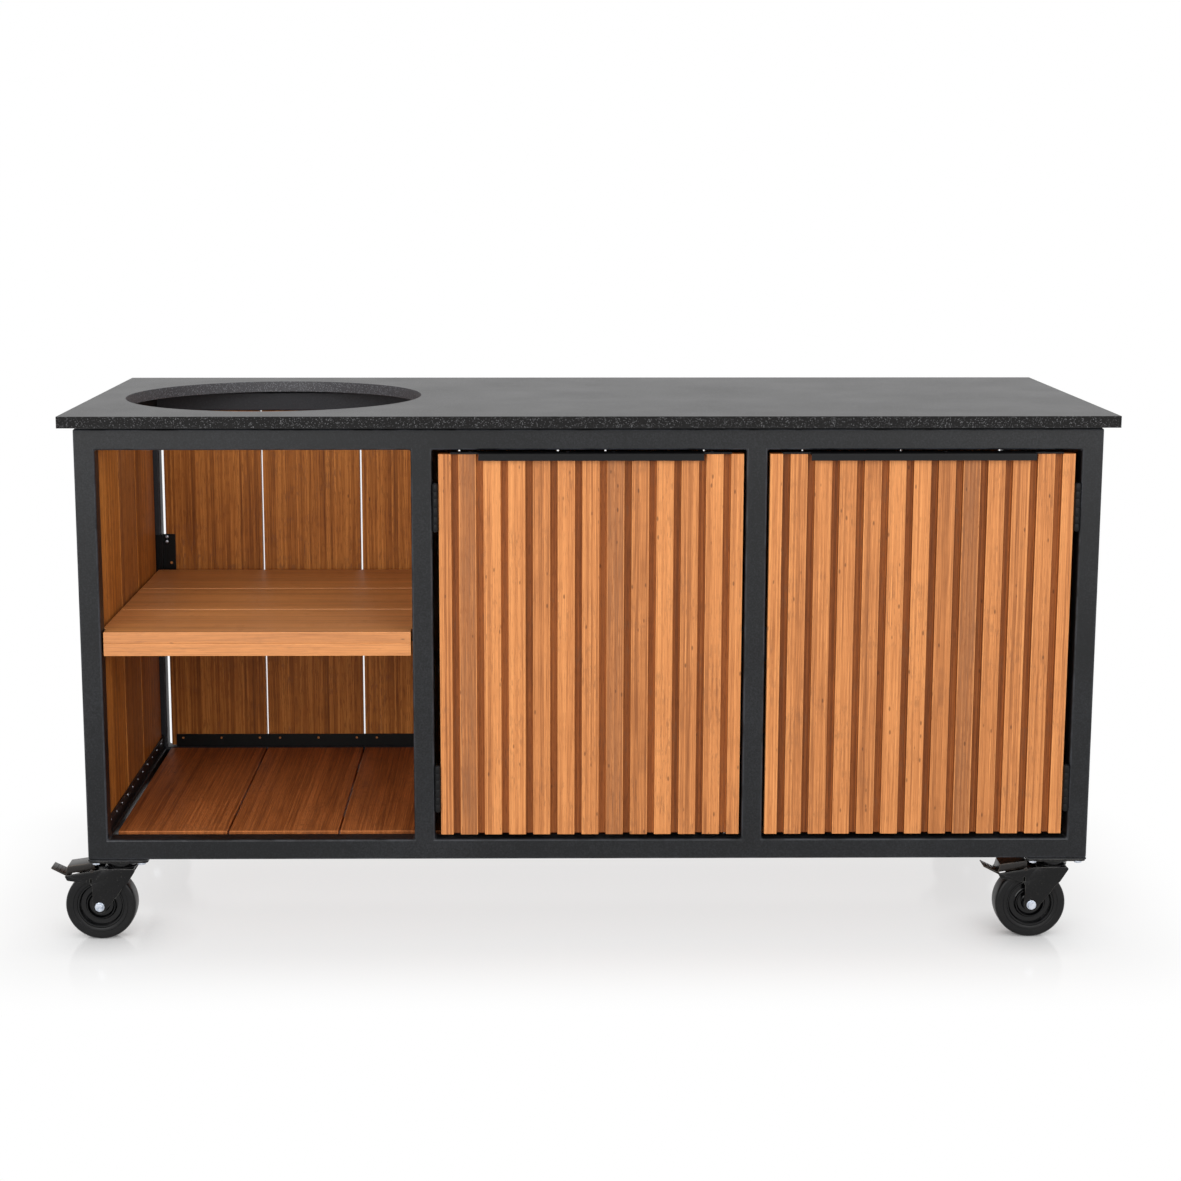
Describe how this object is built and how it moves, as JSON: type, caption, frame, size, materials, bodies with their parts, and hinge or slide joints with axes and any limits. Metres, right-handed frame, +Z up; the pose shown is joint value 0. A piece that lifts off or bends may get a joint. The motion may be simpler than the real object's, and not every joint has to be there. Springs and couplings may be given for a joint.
{
  "type": "kamado grill table",
  "caption": "Wheeled outdoor kitchen table with a stone worktop cut out for a round ceramic grill, an open bay with a shelf and a cupboard with ribbed bamboo doors.",
  "frame": {"origin": "middle of the whole footprint, brake pedals included, on the floor", "axes": "+X along the table to the right as seen from the doors, +Y from the doors to the back, +Z up"},
  "size_m": [1.8494, 0.7, 0.9385],
  "materials": {
    "granite": "satin dark granite with fine speckle",
    "gasket": "matte",
    "frame": "anthracite fine-texture powder coat",
    "boards": "oiled dark bamboo",
    "ribs": "oiled light bamboo",
    "black_steel": "black coated steel",
    "zinc": "bright zinc plating",
    "wheel": "black rubber",
    "pedal": "dark coated steel"
  },
  "bodies": {
    "table": {"worktop": "granite", "worktop_gasket": "gasket", "front_frame": "frame", "rear_frame": "frame", "left_rail_bottom": "frame", "left_rail_top": "frame", "right_rail_bottom": "frame", "right_rail_top": "frame", "cross_rail_left": "frame", "cross_rail_right": "frame", "back_wall": "boards", "left_wall": "boards", "right_wall": "boards", "divider_wall": "boards", "floor_boards": "boards", "shelf_plank_front": "boards", "shelf_plank_middle": "boards", "shelf_plank_rear": "boards", "shelf_front_lip": "ribs", "shelf_rail_left": "black_steel", "shelf_rail_right": "black_steel", "corner_clip": "black_steel", "left_door_hinge_upper_frame_leaf": "black_steel", "left_door_hinge_lower_frame_leaf": "black_steel", "right_door_hinge_upper_frame_leaf": "black_steel", "right_door_hinge_lower_frame_leaf": "black_steel", "caster_front_left_plate": "black_steel", "caster_front_right_plate": "black_steel", "caster_rear_left_plate": "black_steel", "caster_rear_right_plate": "black_steel"},
    "left_door": {"left_door_cladding": "ribs", "left_door_bars": "frame", "left_door_handle": "frame", "left_door_hinge_upper_door_leaf": "black_steel", "left_door_hinge_lower_door_leaf": "black_steel"},
    "right_door": {"right_door_cladding": "ribs", "right_door_bars": "frame", "right_door_handle": "frame", "right_door_hinge_upper_door_leaf": "black_steel", "right_door_hinge_lower_door_leaf": "black_steel"},
    "front_left_swivel": {"caster_front_left_fork": "black_steel", "caster_front_left_axle": "zinc"},
    "front_left_wheel": {"caster_front_left_wheel": "wheel"},
    "front_left_pedal": {"caster_front_left_pedal": "pedal"},
    "front_right_swivel": {"caster_front_right_fork": "black_steel", "caster_front_right_axle": "zinc"},
    "front_right_wheel": {"caster_front_right_wheel": "wheel"},
    "front_right_pedal": {"caster_front_right_pedal": "pedal"},
    "rear_left_swivel": {"caster_rear_left_fork": "black_steel", "caster_rear_left_axle": "zinc"},
    "rear_left_wheel": {"caster_rear_left_wheel": "wheel"},
    "rear_left_pedal": {"caster_rear_left_pedal": "pedal"},
    "rear_right_swivel": {"caster_rear_right_fork": "black_steel", "caster_rear_right_axle": "zinc"},
    "rear_right_wheel": {"caster_rear_right_wheel": "wheel"},
    "rear_right_pedal": {"caster_rear_right_pedal": "pedal"}
  },
  "joints": [
    {"name": "left_door_hinge", "type": "hinge", "parent": "table", "child": "left_door", "pos_m": [-0.23825, -0.3285, 0.5355], "axis": [0, 0, -1], "range_deg": [0, 110]},
    {"name": "right_door_hinge", "type": "hinge", "parent": "table", "child": "right_door", "pos_m": [0.86075, -0.3285, 0.5355], "axis": [0, 0, 1], "range_deg": [0, 110]},
    {"name": "front_left_swivel_turn", "type": "hinge", "parent": "table", "child": "front_left_swivel", "pos_m": [-0.80075, -0.2855, 0.13], "axis": [0, 0, 1], "continuous": true},
    {"name": "front_left_wheel_roll", "type": "hinge", "parent": "front_left_swivel", "child": "front_left_wheel", "pos_m": [-0.83875, -0.2855, 0.0625], "axis": [0, 1, 0], "continuous": true},
    {"name": "front_left_pedal_press", "type": "hinge", "parent": "front_left_swivel", "child": "front_left_pedal", "pos_m": [-0.85075, -0.2855, 0.1285], "axis": [0, -1, 0], "range_deg": [0, 10]},
    {"name": "front_right_swivel_turn", "type": "hinge", "parent": "table", "child": "front_right_swivel", "pos_m": [0.85025, -0.2855, 0.13], "axis": [0, 0, 1], "continuous": true},
    {"name": "front_right_wheel_roll", "type": "hinge", "parent": "front_right_swivel", "child": "front_right_wheel", "pos_m": [0.81225, -0.2855, 0.0625], "axis": [0, 1, 0], "continuous": true},
    {"name": "front_right_pedal_press", "type": "hinge", "parent": "front_right_swivel", "child": "front_right_pedal", "pos_m": [0.80025, -0.2855, 0.1285], "axis": [0, -1, 0], "range_deg": [0, 10]},
    {"name": "rear_left_swivel_turn", "type": "hinge", "parent": "table", "child": "rear_left_swivel", "pos_m": [-0.80075, 0.2855, 0.13], "axis": [0, 0, 1], "continuous": true},
    {"name": "rear_left_wheel_roll", "type": "hinge", "parent": "rear_left_swivel", "child": "rear_left_wheel", "pos_m": [-0.83875, 0.2855, 0.0625], "axis": [0, 1, 0], "continuous": true},
    {"name": "rear_left_pedal_press", "type": "hinge", "parent": "rear_left_swivel", "child": "rear_left_pedal", "pos_m": [-0.85075, 0.2855, 0.1285], "axis": [0, -1, 0], "range_deg": [0, 10]},
    {"name": "rear_right_swivel_turn", "type": "hinge", "parent": "table", "child": "rear_right_swivel", "pos_m": [0.85025, 0.2855, 0.13], "axis": [0, 0, 1], "continuous": true},
    {"name": "rear_right_wheel_roll", "type": "hinge", "parent": "rear_right_swivel", "child": "rear_right_wheel", "pos_m": [0.81225, 0.2855, 0.0625], "axis": [0, 1, 0], "continuous": true},
    {"name": "rear_right_pedal_press", "type": "hinge", "parent": "rear_right_swivel", "child": "rear_right_pedal", "pos_m": [0.80025, 0.2855, 0.1285], "axis": [0, -1, 0], "range_deg": [0, 10]}
  ]
}
